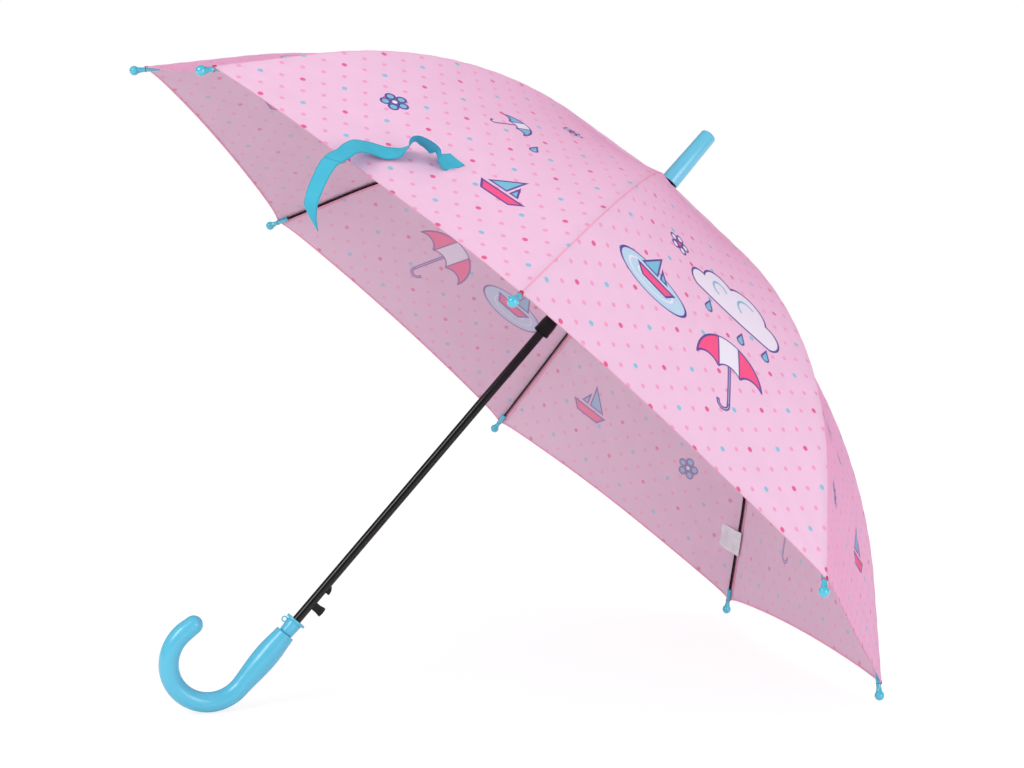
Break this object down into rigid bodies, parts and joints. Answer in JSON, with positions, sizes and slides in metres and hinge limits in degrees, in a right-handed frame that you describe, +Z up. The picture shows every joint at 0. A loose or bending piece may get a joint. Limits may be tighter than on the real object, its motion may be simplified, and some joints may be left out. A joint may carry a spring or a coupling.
{
  "type": "stick umbrella for a child",
  "caption": "Child's open stick umbrella: folding ribs and stretchers under a cloth dome, sliding runner, push-button catch, ferrule and crook handle.",
  "frame": {"origin": "middle of the footprint, on the floor that the open umbrella rests on", "axes": "+Z up; the shaft lies in the XZ plane and rises towards +X and the ferrule; the handle is at -X; Y is across"},
  "size_m": [0.5916, 0.785, 0.549],
  "materials": {
    "canopy_cloth": "woven polyester, printed with dots, pink",
    "turquoise_plastic": "smooth moulded, semi-gloss",
    "tip_plastic": "smooth moulded, gloss",
    "gloss_black": "gloss black lacquer on steel",
    "black_plastic": "moulded, satin black",
    "bare_steel": "bright zinc-plated wire",
    "strap_tape": "woven tape",
    "label_cloth": "thin satin"
  },
  "bodies": {
    "root": {"shaft": "gloss_black", "crown_notch": "black_plastic", "crown_wire": "bare_steel", "ferrule": "turquoise_plastic", "top_washer": "black_plastic", "handle": "turquoise_plastic", "handle_collar": "turquoise_plastic", "latch_spring": "bare_steel"},
    "rib_1": {"rib_1": "gloss_black", "rib_tip_1": "tip_plastic", "rivet_1": "bare_steel"},
    "stretcher_1": {"stretcher_1": "gloss_black"},
    "gore_1": {"gore_1": "canopy_cloth"},
    "rib_2": {"rib_2": "gloss_black", "rib_tip_2": "tip_plastic", "rivet_2": "bare_steel"},
    "stretcher_2": {"stretcher_2": "gloss_black"},
    "gore_2": {"gore_2": "canopy_cloth"},
    "rib_3": {"rib_3": "gloss_black", "rib_tip_3": "tip_plastic", "rivet_3": "bare_steel"},
    "stretcher_3": {"stretcher_3": "gloss_black"},
    "gore_3": {"gore_3": "canopy_cloth", "closing_strap": "strap_tape"},
    "rib_4": {"rib_4": "gloss_black", "rib_tip_4": "tip_plastic", "rivet_4": "bare_steel"},
    "stretcher_4": {"stretcher_4": "gloss_black"},
    "gore_4": {"gore_4": "canopy_cloth"},
    "rib_5": {"rib_5": "gloss_black", "rib_tip_5": "tip_plastic", "rivet_5": "bare_steel"},
    "stretcher_5": {"stretcher_5": "gloss_black"},
    "gore_5": {"gore_5": "canopy_cloth"},
    "rib_6": {"rib_6": "gloss_black", "rib_tip_6": "tip_plastic", "rivet_6": "bare_steel"},
    "stretcher_6": {"stretcher_6": "gloss_black"},
    "gore_6": {"gore_6": "canopy_cloth"},
    "rib_7": {"rib_7": "gloss_black", "rib_tip_7": "tip_plastic", "rivet_7": "bare_steel"},
    "stretcher_7": {"stretcher_7": "gloss_black"},
    "gore_7": {"gore_7": "canopy_cloth"},
    "rib_8": {"rib_8": "gloss_black", "rib_tip_8": "tip_plastic", "rivet_8": "bare_steel", "care_label": "label_cloth"},
    "stretcher_8": {"stretcher_8": "gloss_black"},
    "gore_8": {"gore_8": "canopy_cloth"},
    "runner": {"runner": "black_plastic", "runner_wire": "bare_steel"},
    "opening_spring": {"opening_spring": "bare_steel"},
    "release_button": {"release_button": "black_plastic"},
    "catch_hook": {"catch_hook": "gloss_black"}
  },
  "joints": [
    {"name": "rib_1_fold", "type": "hinge", "parent": "root", "child": "rib_1", "pos_m": [0.163, -0.00268, 0.42797], "axis": [0.2796, 0.9239, -0.2613], "range_deg": [0, 60], "stiffness_Nm_per_rad": 0.075, "springref_deg": -45.84},
    {"name": "stretcher_1_pivot", "type": "hinge", "parent": "rib_1", "child": "stretcher_1", "pos_m": [0.26401, -0.07938, 0.26485], "axis": [0.2796, 0.9239, -0.2613], "range_deg": [-120, 0]},
    {"name": "rib_2_fold", "type": "hinge", "parent": "root", "child": "rib_2", "pos_m": [0.16023, -0.00647, 0.43056], "axis": [0.675, 0.3827, -0.6308], "range_deg": [0, 60], "stiffness_Nm_per_rad": 0.075, "springref_deg": -45.84},
    {"name": "stretcher_2_pivot", "type": "hinge", "parent": "rib_2", "child": "stretcher_2", "pos_m": [0.18199, -0.19165, 0.34151], "axis": [0.675, 0.3827, -0.6308], "range_deg": [-120, 0]},
    {"name": "rib_3_fold", "type": "hinge", "parent": "root", "child": "rib_3", "pos_m": [0.15631, -0.00647, 0.43422], "axis": [0.675, -0.3827, -0.6308], "range_deg": [0, 60], "stiffness_Nm_per_rad": 0.075, "springref_deg": -45.84},
    {"name": "stretcher_3_pivot", "type": "hinge", "parent": "rib_3", "child": "stretcher_3", "pos_m": [0.06599, -0.19165, 0.44991], "axis": [0.675, -0.3827, -0.6308], "range_deg": [-120, 0]},
    {"name": "rib_4_fold", "type": "hinge", "parent": "root", "child": "rib_4", "pos_m": [0.15355, -0.00268, 0.43681], "axis": [0.2796, -0.9239, -0.2613], "range_deg": [0, 60], "stiffness_Nm_per_rad": 0.075, "springref_deg": -45.84},
    {"name": "stretcher_4_pivot", "type": "hinge", "parent": "rib_4", "child": "stretcher_4", "pos_m": [-0.01603, -0.07938, 0.52656], "axis": [0.2796, -0.9239, -0.2613], "range_deg": [-120, 0]},
    {"name": "rib_5_fold", "type": "hinge", "parent": "root", "child": "rib_5", "pos_m": [0.15355, 0.00268, 0.43681], "axis": [-0.2796, -0.9239, 0.2613], "range_deg": [0, 60], "stiffness_Nm_per_rad": 0.075, "springref_deg": -45.84},
    {"name": "stretcher_5_pivot", "type": "hinge", "parent": "rib_5", "child": "stretcher_5", "pos_m": [-0.01603, 0.07938, 0.52656], "axis": [-0.2796, -0.9239, 0.2613], "range_deg": [-120, 0]},
    {"name": "rib_6_fold", "type": "hinge", "parent": "root", "child": "rib_6", "pos_m": [0.15631, 0.00647, 0.43422], "axis": [-0.675, -0.3827, 0.6308], "range_deg": [0, 60], "stiffness_Nm_per_rad": 0.075, "springref_deg": -45.84},
    {"name": "stretcher_6_pivot", "type": "hinge", "parent": "rib_6", "child": "stretcher_6", "pos_m": [0.06599, 0.19165, 0.44991], "axis": [-0.675, -0.3827, 0.6308], "range_deg": [-120, 0]},
    {"name": "rib_7_fold", "type": "hinge", "parent": "root", "child": "rib_7", "pos_m": [0.16023, 0.00647, 0.43056], "axis": [-0.675, 0.3827, 0.6308], "range_deg": [0, 60], "stiffness_Nm_per_rad": 0.075, "springref_deg": -45.84},
    {"name": "stretcher_7_pivot", "type": "hinge", "parent": "rib_7", "child": "stretcher_7", "pos_m": [0.18199, 0.19165, 0.34151], "axis": [-0.675, 0.3827, 0.6308], "range_deg": [-120, 0]},
    {"name": "rib_8_fold", "type": "hinge", "parent": "root", "child": "rib_8", "pos_m": [0.163, 0.00268, 0.42797], "axis": [-0.2796, 0.9239, 0.2613], "range_deg": [0, 60], "stiffness_Nm_per_rad": 0.075, "springref_deg": -45.84},
    {"name": "stretcher_8_pivot", "type": "hinge", "parent": "rib_8", "child": "stretcher_8", "pos_m": [0.26401, 0.07938, 0.26485], "axis": [-0.2796, 0.9239, 0.2613], "range_deg": [-120, 0]},
    {"name": "runner_pivot", "type": "hinge", "parent": "stretcher_1", "child": "runner", "pos_m": [0.09443, -0.00268, 0.35461], "axis": [0.2796, 0.9239, -0.2613], "range_deg": [0, 60]},
    {"name": "gore_1_drape", "type": "hinge", "parent": "rib_1", "child": "gore_1", "pos_m": [0.16218, -0.00536, 0.42873], "axis": [0.7772, -0.6239, -0.0821], "range_deg": [0, 44.12], "deforming": ["gore_1"]},
    {"name": "gore_2_drape", "type": "hinge", "parent": "rib_2", "child": "gore_2", "pos_m": [0.15827, -0.00758, 0.43239], "axis": [0.3213, -0.8823, 0.3439], "range_deg": [0, 44.12], "deforming": ["gore_2"]},
    {"name": "gore_3_drape", "type": "hinge", "parent": "rib_3", "child": "gore_3", "pos_m": [0.15436, -0.00536, 0.43605], "axis": [-0.1345, -0.6239, 0.7698], "range_deg": [0, 44.12], "deforming": ["gore_3", "closing_strap"]},
    {"name": "gore_4_drape", "type": "hinge", "parent": "rib_4", "child": "gore_4", "pos_m": [0.15274, 0, 0.43756], "axis": [-0.3233, 0, 0.9463], "range_deg": [0, 44.12], "deforming": ["gore_4"]},
    {"name": "gore_5_drape", "type": "hinge", "parent": "rib_5", "child": "gore_5", "pos_m": [0.15436, 0.00536, 0.43605], "axis": [-0.1345, 0.6239, 0.7698], "range_deg": [0, 44.12], "deforming": ["gore_5"]},
    {"name": "gore_6_drape", "type": "hinge", "parent": "rib_6", "child": "gore_6", "pos_m": [0.15827, 0.00758, 0.43239], "axis": [0.3213, 0.8823, 0.3439], "range_deg": [0, 44.12], "deforming": ["gore_6"]},
    {"name": "gore_7_drape", "type": "hinge", "parent": "rib_7", "child": "gore_7", "pos_m": [0.16218, 0.00536, 0.42873], "axis": [0.7772, 0.6239, -0.0821], "range_deg": [0, 44.12], "deforming": ["gore_7"]},
    {"name": "gore_8_drape", "type": "hinge", "parent": "rib_8", "child": "gore_8", "pos_m": [0.16381, 0, 0.42722], "axis": [0.966, 0, -0.2586], "range_deg": [0, 44.12], "deforming": ["gore_8"]},
    {"name": "spring_stretch", "type": "slide", "parent": "root", "child": "opening_spring", "axis": [-0.6828, 0, -0.7306], "range_m": [0, 0.29696], "deforming": ["opening_spring"]},
    {"name": "button_press", "type": "slide", "parent": "root", "child": "release_button", "axis": [-0.7306, 0, 0.6828], "range_m": [0, 0.003], "stiffness_N_per_m": 400, "springref_m": -0.004, "deforming": ["latch_spring"]},
    {"name": "catch_retract", "type": "slide", "parent": "root", "child": "catch_hook", "axis": [-0.7306, 0, 0.6828], "range_m": [0, 0.0033], "stiffness_N_per_m": 200, "springref_m": -0.004}
  ],
  "couplings": [
    {"joint": "stretcher_1_pivot", "follows": "rib_1_fold", "ratio": -2},
    {"joint": "rib_2_fold", "follows": "rib_1_fold", "ratio": 1},
    {"joint": "stretcher_2_pivot", "follows": "rib_1_fold", "ratio": -2},
    {"joint": "rib_3_fold", "follows": "rib_1_fold", "ratio": 1},
    {"joint": "stretcher_3_pivot", "follows": "rib_1_fold", "ratio": -2},
    {"joint": "rib_4_fold", "follows": "rib_1_fold", "ratio": 1},
    {"joint": "stretcher_4_pivot", "follows": "rib_1_fold", "ratio": -2},
    {"joint": "rib_5_fold", "follows": "rib_1_fold", "ratio": 1},
    {"joint": "stretcher_5_pivot", "follows": "rib_1_fold", "ratio": -2},
    {"joint": "rib_6_fold", "follows": "rib_1_fold", "ratio": 1},
    {"joint": "stretcher_6_pivot", "follows": "rib_1_fold", "ratio": -2},
    {"joint": "rib_7_fold", "follows": "rib_1_fold", "ratio": 1},
    {"joint": "stretcher_7_pivot", "follows": "rib_1_fold", "ratio": -2},
    {"joint": "rib_8_fold", "follows": "rib_1_fold", "ratio": 1},
    {"joint": "stretcher_8_pivot", "follows": "rib_1_fold", "ratio": -2},
    {"joint": "runner_pivot", "follows": "rib_1_fold", "ratio": 1},
    {"joint": "gore_1_drape", "follows": "rib_1_fold", "ratio": 0.7354},
    {"joint": "gore_2_drape", "follows": "rib_1_fold", "ratio": 0.7354},
    {"joint": "gore_3_drape", "follows": "rib_1_fold", "ratio": 0.7354},
    {"joint": "gore_4_drape", "follows": "rib_1_fold", "ratio": 0.7354},
    {"joint": "gore_5_drape", "follows": "rib_1_fold", "ratio": 0.7354},
    {"joint": "gore_6_drape", "follows": "rib_1_fold", "ratio": 0.7354},
    {"joint": "gore_7_drape", "follows": "rib_1_fold", "ratio": 0.7354},
    {"joint": "gore_8_drape", "follows": "rib_1_fold", "ratio": 0.7354},
    {"joint": "spring_stretch", "follows": "rib_1_fold", "m_per_rad": 0.28357},
    {"joint": "catch_retract", "follows": "button_press", "ratio": 1.1}
  ]
}
